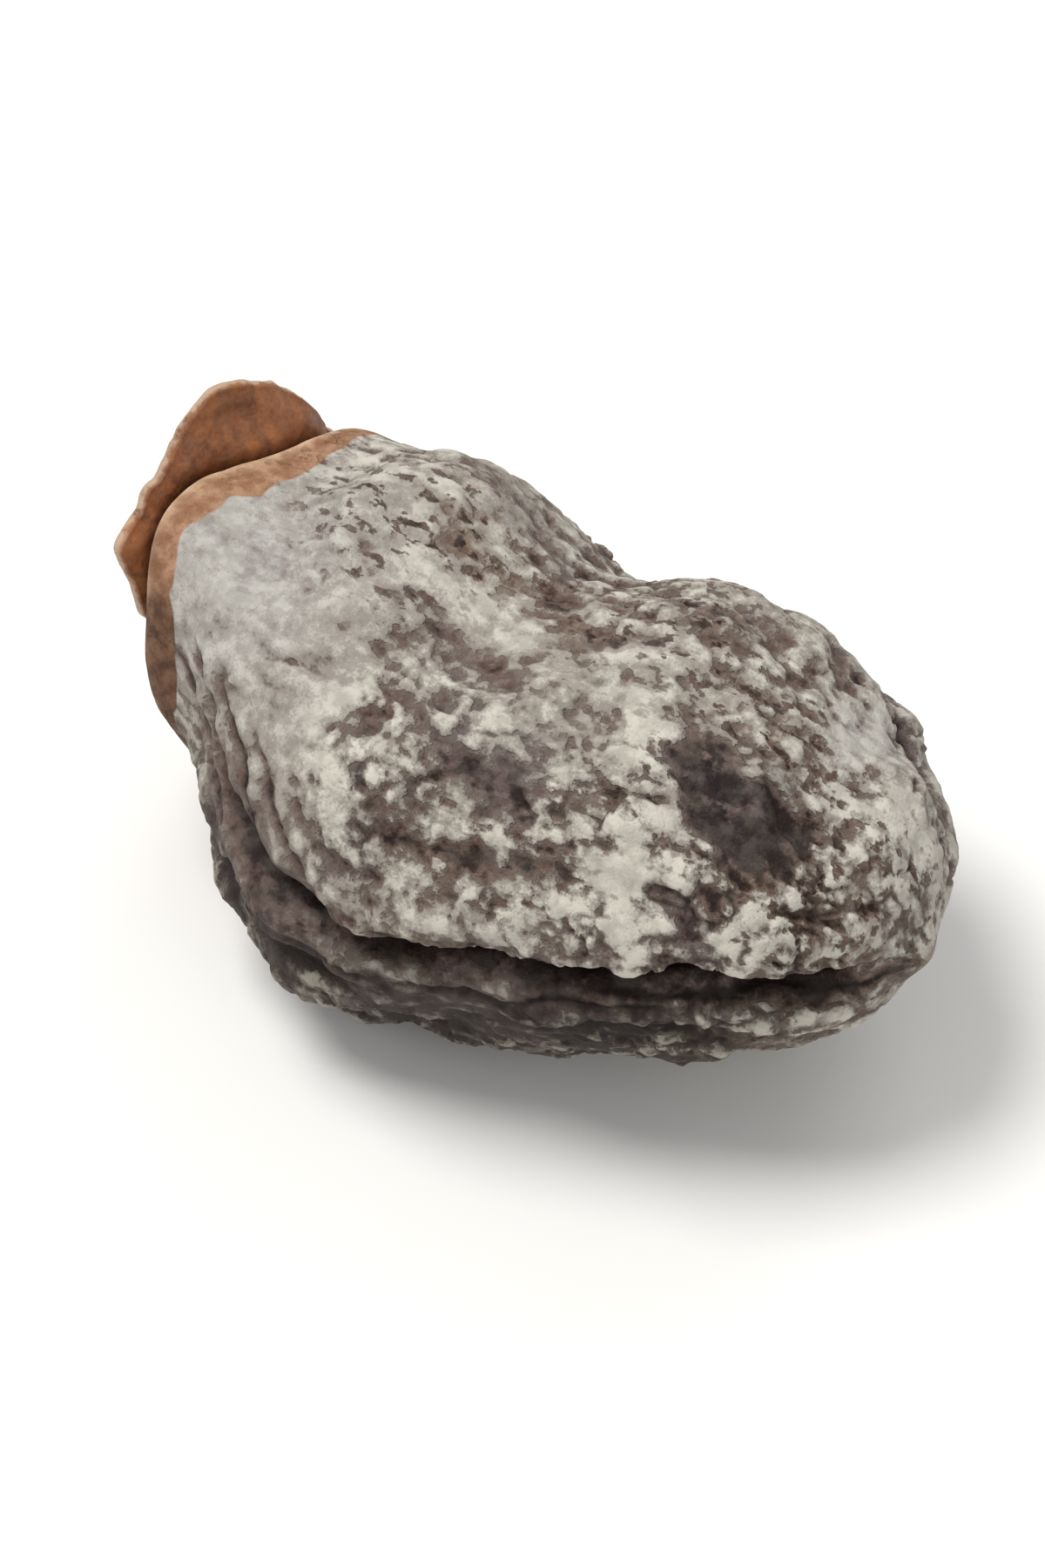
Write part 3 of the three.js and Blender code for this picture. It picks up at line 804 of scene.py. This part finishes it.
def calyx_faces(angle, out, y, up):
    """The x of the face towards the fruit, laid over the collar's crest, and of the outer face."""
    crest_x, crest_radius = collar_crest(np.arctan2(up, y))
    from_axis = np.hypot(y, up)
    reached = from_axis / crest_radius
    raised = smooth(reached / RAISED_BY)
    dropped = smooth((reached - LEVEL_TO) / (1 - LEVEL_TO))
    on_crest = crest_x - COLLAR_GAP
    seated = mix(CALYX_BACK_X, on_crest, np.where(on_crest < CALYX_BACK_X, raised, dropped))
    flare = smooth((from_axis - crest_radius) / FLARE_LENGTH)
    rim_x = CALYX_RIM_X + 0.25 * np.sin(3 * angle + 0.4) + 0.1 * np.sin(7 * angle)
    rim_x = rim_x - CURL_REACH * within(angle, CURL_ANGLE, CURL_HALF_WIDTH)
    lip = LIP_REACH * smooth((out - 1) / LIP_SHARE + 1)
    inner = mix(seated, np.minimum(rim_x, seated), flare) - lip
    thickness = mix(CALYX_THICKNESS, RIM_THICKNESS, smooth((out - 0.6) / 0.4))
    pit = PIT_DEPTH * (1 - smooth((out - 0.14) / 0.3))
    return inner, inner - thickness + pit - RIDGE_RISE * bump(out - RIDGE_SHARE, RIDGE_WIDTH)


def broken_rings(points, out, ring):
    """How strongly the sunk rings show, broken here and there."""
    uneven = out + layers(points, RING_WANDER)
    rings = 0
    for at, half_width, deep in CALYX_RINGS:
        broken = smooth((perlin(ring * 2.3 + at * 9, 1.0, seed=48) + 0.45) / 0.4)
        rings = rings + deep * broken * bump(uneven - at, half_width)
    return rings


def make_calyx(place):
    """The calyx as one grid: its outer face out to the rim, and its inner face back again."""
    share, angle = even_grid(CALYX_ROWS, CALYX_COLUMNS)
    outside = share <= 0.5
    out = np.where(outside, 2 * share, 2 * (1 - share))
    ring = np.stack([np.cos(angle), np.sin(angle), np.zeros_like(angle)], axis=-1)
    radius = calyx_outline(angle, out, ring)
    y = CALYX_OFFSET_Y + radius * np.cos(angle)
    up = CALYX_OFFSET_Z + radius * np.sin(angle)
    inner_face, outer_face = calyx_faces(angle, out, y, up)
    x = np.where(outside, outer_face, inner_face)
    points = np.stack([x, y, up + AXIS_HEIGHT], axis=-1)

    # Radial creases and veins, rings about the pit, and a frill towards the rim.
    polar = np.stack([np.cos(angle) * 5, np.sin(angle) * 5, out * 1.6], axis=-1)
    creases = np.abs(perlin(polar, 1.1, seed=25))
    veins = smooth(1 - np.abs(perlin(polar * np.array([1, 1, 0.5]), 0.8, seed=27)) / 0.09)
    rings = broken_rings(points, out, ring) * outside
    relief = RADIAL_CREASE * (creases - 0.2) * smooth(out / 0.4)
    relief = relief + LEATHER * fractal(points, 0.9, 3, seed=29) + VEIN * veins - RING_DEPTH * rings
    edge = smooth((1 - out) / 0.06)
    points[..., 0] += np.where(outside, -1, 0.7) * relief * edge
    points[..., 0] += smooth((out - 0.74) / 0.26) * (layers(ring, FRILL) - 0.12)
    crusted = np.where(outside, CRUST_OUTSIDE, CRUST_INSIDE)
    crusted = crusted + 0.06 * perlin(ring, 2.1, seed=52)
    attributes = {
        "rim": smooth((out - crusted) / 0.10),
        "reach": out,
        "vein": veins,
        # Masks for the painted shade in the creases and the sunk rings.
        "fold": np.clip(creases * 2.2, 0, 1),
        "ring": np.clip(rings, 0, 1),
        "inner": np.where(outside, 0.0, 1.0),
    }
    return mesh_piece("persimmon_calyx", fitted(points + place, "calyx"), attributes)


# ---- the stem stub
STEM_SLANT = 0.35  # of the broken end
STEM_LEAN = 0.5  # upwards over its length
STEM_FLATNESS = 0.9
BROKEN_TO, BROKEN_FADE = 0.3, 0.12  # share of the way down that is broken wood


def make_stem(place):
    """The stub as one grid from the middle of its broken end down to its foot."""
    share, angle = even_grid(STEM_ROWS, STEM_COLUMNS)
    down = smooth((share - 0.2) / 0.6)
    width = np.minimum(1, np.sin(share * np.pi) * 1.9)
    radius = STEM_RADIUS * width * (0.86 + 0.2 * down + 0.05 * np.sin(3 * angle + 0.7))
    slope = STEM_SLANT * np.cos(angle - 1.2) * (1 - down)
    x = STEM_FOOT_X - STEM_LENGTH * (1 - down) + slope * width
    y = CALYX_OFFSET_Y + radius * np.cos(angle)
    up = CALYX_OFFSET_Z + STEM_LEAN * (1 - down) + STEM_FLATNESS * radius * np.sin(angle)
    points = np.stack([x, y, AXIS_HEIGHT + up], axis=-1)
    broken = smooth((BROKEN_TO - share) / BROKEN_FADE)
    fibres = perlin(points * np.array([0.12, 1, 1]), 1.7, seed=31)
    splinters = perlin(points * np.array([0.3, 1, 1]), 1.3, seed=33)
    outward = np.stack([np.zeros_like(x), np.cos(angle), np.sin(angle)], axis=-1)
    points = points + outward * ((0.16 * fibres - 0.08) * width)[..., None]
    points[..., 0] += broken * (0.35 + 0.55 * splinters)
    points = fitted(points + place, "stem_stub")
    return mesh_piece("persimmon_stem", points, {"broken": broken, "fibre": fibres * 0.5 + 0.5})


# ---- shader nodes
def linear(red, green, blue):
    """A colour given as screen values from 0 to 255."""
    def one(value):
        v = value / 255
        return v / 12.92 if v <= 0.04045 else ((v + 0.055) / 1.055) ** 2.4
    return (one(red), one(green), one(blue), 1.0)


class Nodes:
    """Short ways to put shader nodes together, in millimetres."""

    def __init__(self, name):
        self.material = bpy.data.materials.new(name)
        self.material.use_nodes = True
        self.tree = self.material.node_tree
        self.shader = self.tree.nodes["Principled BSDF"]
        coordinates = self.tree.nodes.new("ShaderNodeTexCoord")
        scale = self.tree.nodes.new("ShaderNodeVectorMath")
        scale.operation = "SCALE"
        scale.inputs["Scale"].default_value = 1 / MM
        self.tree.links.new(coordinates.outputs["Object"], scale.inputs[0])
        self.millimetres = scale.outputs[0]

    def set(self, socket, value):
        if isinstance(value, bpy.types.NodeSocket):
            self.tree.links.new(value, socket)
        else:
            socket.default_value = value

    def math(self, operation, a, b):
        node = self.tree.nodes.new("ShaderNodeMath")
        node.operation = operation
        self.set(node.inputs[0], a)
        self.set(node.inputs[1], b)
        return node.outputs[0]

    def add(self, a, b):
        return self.math("ADD", a, b)

    def times(self, a, b):
        return self.math("MULTIPLY", a, b)

    def swing(self, value, much):
        """A value around 0.5, brought to swing about 0 and times a factor."""
        return self.times(self.add(value, -0.5), much)

    def attribute(self, name):
        node = self.tree.nodes.new("ShaderNodeAttribute")
        node.attribute_name = name
        return node.outputs["Fac"]

    def stretched(self, stretch):
        """Where a point is, in millimetres, with each axis times its own factor."""
        if stretch is None:
            return self.millimetres
        node = self.tree.nodes.new("ShaderNodeVectorMath")
        node.operation = "MULTIPLY"
        self.set(node.inputs[0], self.millimetres)
        node.inputs[1].default_value = stretch
        return node.outputs[0]

    def noise(self, scale, detail=2.0, roughness=0.5, stretch=None):
        """Noise around 0.5. scale is in waves per millimetre."""
        node = self.tree.nodes.new("ShaderNodeTexNoise")
        for key, value in (("Scale", scale), ("Detail", detail), ("Roughness", roughness)):
            node.inputs[key].default_value = value
        self.set(node.inputs["Vector"], self.stretched(stretch))
        return node.outputs["Fac"]

    def ramp(self, value, low, high, to_low=0.0, to_high=1.0):
        """An eased step of the value between low and high."""
        node = self.tree.nodes.new("ShaderNodeMapRange")
        node.interpolation_type = "SMOOTHSTEP"
        for socket, number in zip(node.inputs, (value, low, high, to_low, to_high)):
            self.set(socket, number)
        return node.outputs["Result"]

    def mix(self, share, a, b):
        """From one colour to the other."""
        node = self.tree.nodes.new("ShaderNodeMix")
        node.data_type = "RGBA"
        node.clamp_factor = True
        self.set(node.inputs["Factor"], share)
        self.set(node.inputs[6], a)
        self.set(node.inputs[7], b)
        return node.outputs[2]

    def bump(self, height, distance, strength):
        node = self.tree.nodes.new("ShaderNodeBump")
        node.inputs["Distance"].default_value = distance * MM
        node.inputs["Strength"].default_value = strength
        self.set(node.inputs["Height"], height)
        return node.outputs[0]

    def finish(self, colour, roughness, normal, specular):
        self.set(self.shader.inputs["Base Color"], colour)
        self.set(self.shader.inputs["Roughness"], roughness)
        self.set(self.shader.inputs["Normal"], normal)
        self.shader.inputs["Specular IOR Level"].default_value = specular
        return self.material


# ---- flesh and bloom
# Purplish first, brown second.
OPEN_FLESH = linear(26, 12, 13), linear(42, 25, 19)
BARE_FLESH = linear(88, 71, 68), linear(102, 82, 70)
VEIL = linear(124, 115, 109), linear(134, 119, 107)
CRUST = linear(153, 146, 137), linear(153, 149, 144)  # warm, cool
THICK_BLOOM = linear(190, 185, 175), linear(202, 197, 185)  # powdery, knobbly
COOL_BLOOM = linear(178, 175, 169)
DULL_BLOOM = linear(104, 96, 88)
# Painted shade on the underside: dark flesh and grey bloom.
UNDERSIDE_SHADE = linear(30, 22, 19), linear(146, 141, 128)  # flesh, bloom
# Painted shade in creases, cracks and crevices.
GROOVE_SHADE = linear(22, 14, 11)
SCAR = linear(140, 126, 110)
# Bare skin of the collar, from moist to dry.
SKIN = linear(138, 99, 73), linear(174, 138, 111)
# The collar's skin where painted shade and some darker colour of its own darken it.
SHADED_SKIN = linear(62, 42, 34), linear(104, 74, 56)
SKIN_SPECKS = linear(98, 62, 42)
SKIN_CREST = linear(214, 184, 154)
PITS_STRETCH = (0.65, 1, 1)
STROKES_STRETCH = (0.4, 1, 1)

# Depths of the bloom over which each layer covers the one below it.
BARE_OVER = (-0.66, -0.12)
VEIL_OVER = (-0.20, 0.00)
CRUST_OVER = (-0.04, 0.18)
THICK_OVER = (0.16, 0.46)


def bloom_depth(n, specks, knobbly, cool):
    """The depth of the bloom with its specks, less the small dark pits."""
    pits = n.ramp(n.noise(1.0, detail=3, roughness=0.55, stretch=PITS_STRETCH), 0.53, 0.63)
    pits = n.times(pits, n.ramp(n.attribute("pitted"), 0.1, 0.9, 0.05, 0.66))
    pits = n.times(pits, n.ramp(cool, 0.2, 0.9, 1, 0.3))
    rough = n.ramp(knobbly, 0, 1, 0.6, 1.7)
    depth = n.add(n.add(n.attribute("bloom"), -BARE_BELOW), n.swing(specks, rough))
    return n.add(depth, n.times(pits, -1))


def bloomed_colour(n, depth, grain, knobbly, cool):
    """From bare flesh through a veil of powder to the thick crust."""
    brown = n.attribute("brown")
    pools = n.swing(n.noise(1.3, detail=5, roughness=0.7), 1.1)
    thick = n.mix(cool, n.mix(knobbly, *THICK_BLOOM), COOL_BLOOM)
    mottle = n.noise(0.7, detail=5, roughness=0.62)
    bare = n.ramp(n.add(depth, pools), *BARE_OVER)
    colour = n.mix(bare, n.mix(brown, *OPEN_FLESH), n.mix(brown, *BARE_FLESH))
    colour = n.mix(n.ramp(depth, *VEIL_OVER), colour, n.mix(brown, *VEIL))
    colour = n.mix(n.ramp(depth, *CRUST_OVER), colour, n.mix(cool, *CRUST))
    colour = n.mix(n.ramp(n.add(depth, n.swing(grain, 0.5)), *THICK_OVER), colour, thick)
    return n.mix(n.ramp(mottle, 0.36, 0.62, 0.35, 0.0), colour, DULL_BLOOM)


def underside_shade_colour(n, depth):
    """Painted shade on the underside: dark flesh and grey bloom in strokes along the fruit."""
    strokes = n.noise(0.5, detail=6, roughness=0.66, stretch=STROKES_STRETCH)
    light = n.ramp(n.add(depth, n.swing(strokes, 2.2)), -0.24, 0.44)
    return n.mix(light, *UNDERSIDE_SHADE)


def skin_colour(n, grain):
    """The ring of skin left round the calyx, with a pale dry edge, darker round one side and
    underneath with painted shade and some darker colour of its own.
    """
    dry = n.noise(0.9, detail=4)
    dry_share = n.ramp(dry, 0.35, 0.7)
    skin = n.mix(n.ramp(grain, 0.35, 0.65, 0.25, 0.0), n.mix(dry_share, *SKIN), SKIN_SPECKS)
    crest = n.times(n.attribute("crest"), n.ramp(dry, 0.3, 0.7, 0.55, 1))
    skin = n.mix(crest, skin, SKIN_CREST)
    # Painted shade, with some darker colour of its own, round one side of the collar and
    # underneath.
    return n.mix(n.times(n.attribute("skin_shade"), 0.85), skin, n.mix(dry_share, *SHADED_SKIN))


def flesh_material():
    n = Nodes("bloomed_flesh")
    knobbly = n.attribute("knobbly")
    cool = n.attribute("cool")
    specks = n.noise(1.5, detail=4, roughness=0.62)
    grain = n.noise(5.0, detail=3, roughness=0.6)
    depth = bloom_depth(n, specks, knobbly, cool)
    colour = bloomed_colour(n, depth, grain, knobbly, cool)
    # Painted shade on the underside.
    colour = n.mix(n.times(n.attribute("under_shade"), 0.72), colour, underside_shade_colour(n, depth))
    # Painted shade in creases, cracks and crevices.
    colour = n.mix(n.times(n.ramp(n.attribute("groove"), 0.40, 0.85), 0.92), colour, GROOVE_SHADE)
    colour = n.mix(n.ramp(n.attribute("collar"), 0.35, 0.65), colour, skin_colour(n, grain))
    colour = n.mix(n.ramp(n.attribute("scar"), 0.4, 0.9, 0.0, 0.7), colour, SCAR)

    relief = n.add(n.ramp(depth, -0.12, 0.10), n.times(n.add(grain, specks), 0.6))
    roughness = n.ramp(depth, -0.15, 0.1, 0.55, 0.94)
    return n.finish(colour, roughness, n.bump(relief, 0.18, 0.9), specular=0.2)


# ---- leather and wood
# Darker and paler blotches.
OUTER_LEATHER = linear(96, 66, 48), linear(140, 102, 74)
INNER_LEATHER = linear(122, 69, 37), linear(160, 100, 58)
# Painted shade in the calyx's radial creases.
FOLD_SHADE = linear(84, 48, 30)
VEIN_COLOUR = linear(112, 66, 40)
PALE_FIBRE = linear(196, 146, 106)
POWDER = linear(158, 132, 112)
# Painted shade in the sunk rings and in the pit round the stem.
RING_SHADE = linear(64, 42, 32)
PIT_SHADE = linear(52, 40, 38)
RIM_CRUST = linear(192, 168, 144)
BARK = linear(58, 46, 44), linear(122, 104, 94)
FRESH_WOOD = linear(168, 118, 82), linear(206, 168, 132)
GRAIN_STRETCH = (0.12, 1, 1)


def calyx_material():
    n = Nodes("calyx_leather")
    inner = n.attribute("inner")
    blotch = n.noise(0.28, detail=4, roughness=0.6)
    fibre = n.noise(3.0, detail=4, roughness=0.65)
    powder = n.noise(0.9, detail=5, roughness=0.65)
    pale = n.ramp(blotch, 0.36, 0.64)
    colour = n.mix(inner, n.mix(pale, *OUTER_LEATHER), n.mix(pale, *INNER_LEATHER))
    # Painted shade in the radial creases.
    colour = n.mix(n.ramp(n.attribute("fold"), 0.0, 0.5, 0.5, 0.0), colour, FOLD_SHADE)
    colour = n.mix(n.times(n.attribute("vein"), 0.35), colour, VEIN_COLOUR)
    colour = n.mix(n.ramp(fibre, 0.35, 0.65, 0.0, 0.15), colour, PALE_FIBRE)
    dusted = n.times(n.ramp(powder, 0.42, 0.66, 0.0, 0.55), n.ramp(inner, 0, 1, 1, 0.15))
    colour = n.mix(dusted, colour, POWDER)
    # Painted shade in the sunk rings and in the pit round the stem.
    colour = n.mix(n.times(n.attribute("ring"), 0.75), colour, RING_SHADE)
    pit = n.ramp(n.add(n.attribute("reach"), n.swing(powder, 0.3)), 0.16, 0.38, 1.0, 0.0)
    colour = n.mix(n.times(pit, 0.75), colour, PIT_SHADE)
    crust = n.ramp(n.add(n.attribute("rim"), n.swing(powder, 2.4)), 0.35, 0.85)
    crust = n.times(crust, n.ramp(inner, 0, 1, 0.8, 0.35))
    colour = n.mix(crust, colour, RIM_CRUST)

    relief = n.add(n.times(fibre, 0.8), n.times(n.noise(9.0, detail=3), 0.4))
    roughness = n.ramp(blotch, 0.3, 0.7, 0.45, 0.62)
    return n.finish(colour, roughness, n.bump(relief, 0.10, 0.6), specular=0.4)


def stem_material():
    n = Nodes("stem_wood")
    grain = n.noise(5.0, detail=4, roughness=0.6, stretch=GRAIN_STRETCH)
    rough = n.add(n.times(n.attribute("fibre"), 0.5), n.times(grain, 0.5))
    bark = n.mix(n.ramp(rough, 0.35, 0.65), *BARK)
    fresh = n.mix(n.ramp(grain, 0.35, 0.65), *FRESH_WOOD)
    colour = n.mix(n.attribute("broken"), bark, fresh)
    roughness = n.ramp(grain, 0.3, 0.7, 0.7, 0.9)
    return n.finish(colour, roughness, n.bump(grain, 0.2, 0.7), specular=0.25)


# ---- the pieces
form = body_form(*fine_grid())
place = frame_place(form)
body = make_body(form, place)
calyx = make_calyx(place)
stem = make_stem(place)
for piece, node, slot, material in (
    (body, "fruit_body", "bloomed_flesh", flesh_material()),
    (calyx, "calyx", "calyx", calyx_material()),
    (stem, "stem_stub", "stem", stem_material()),
):
    piece.data.materials.append(material)
    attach(piece, "root")
    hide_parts(node)


# ---- floor, light and camera
FLOOR_SIZE = 6.0
FLOOR_TONES = linear(236, 235, 232), linear(243, 242, 240)
VIEW_AZIMUTH, VIEW_ELEVATION = 37, 50  # degrees round from the front, and up
LENS, SENSOR_WIDTH = 250, 36
FRAME_WIDTH = 0.070  # what the picture's width takes in at the fruit
NEAREST_SEEN = 0.01
SKY_STRENGTH = 0.5

# Lamps: name, azimuth, elevation, distance, size, power, colour.
LAMPS = [
    ("key", -64, 68, 0.7, 0.35, 4.0, (1.0, 0.985, 0.96)),
    ("fill", 60, 40, 0.9, 0.6, 0.8, (0.94, 0.97, 1.0)),
    ("back", 190, 45, 0.9, 0.5, 1.4, (1, 1, 1)),
]


def make_floor():
    mesh = bpy.data.meshes.new("floor")
    half = FLOOR_SIZE / 2
    corners = [(-half, -half, 0), (half, -half, 0), (half, half, 0), (-half, half, 0)]
    mesh.from_pydata(corners, [], [(0, 1, 2, 3)])
    floor = linked("floor", mesh)
    n = Nodes("floor_paper")
    tone = n.mix(n.noise(0.02), *FLOOR_TONES)
    mesh.materials.append(n.finish(tone, 0.85, n.bump(n.noise(1.2), 0.02, 0.2), specular=0.2))


def direction(azimuth, elevation):
    """From the fruit towards a viewer at angles in degrees."""
    a, e = math.radians(azimuth), math.radians(elevation)
    return Vector((math.sin(a) * math.cos(e), -math.cos(a) * math.cos(e), math.sin(e)))


def aimed(name, data, azimuth, elevation, distance):
    """A lamp or camera that looks at the middle of the fruit from a distance."""
    thing = linked(name, data)
    towards = direction(azimuth, elevation)
    low, high = map(Vector, cad_box)
    thing.location = (low + high) / 2 + towards * distance
    thing.rotation_euler = towards.to_track_quat("Z", "Y").to_euler()
    return thing


def add_lamp(name, azimuth, elevation, distance, size, power, colour):
    data = bpy.data.lights.new(name, "AREA")
    data.shape = "DISK"
    data.size = size
    data.energy = power
    data.color = colour
    aimed(name, data, azimuth, elevation, distance)


def make_camera():
    data = bpy.data.cameras.new("camera")
    data.sensor_fit = "HORIZONTAL"
    data.sensor_width = SENSOR_WIDTH
    data.lens = LENS
    data.clip_start = NEAREST_SEEN
    distance = FRAME_WIDTH * LENS / SENSOR_WIDTH
    camera = aimed("camera", data, VIEW_AZIMUTH, VIEW_ELEVATION, distance)
    bpy.context.scene.camera = camera


def make_sky():
    """Even white light from all round."""
    world = bpy.data.worlds.new("studio")
    world.use_nodes = True
    background = world.node_tree.nodes["Background"]
    background.inputs["Color"].default_value = (1, 1, 1, 1)
    background.inputs["Strength"].default_value = SKY_STRENGTH
    bpy.context.scene.world = world


make_floor()
for lamp in LAMPS:
    add_lamp(*lamp)
make_camera()
make_sky()
bpy.context.scene.view_settings.view_transform = "Standard"
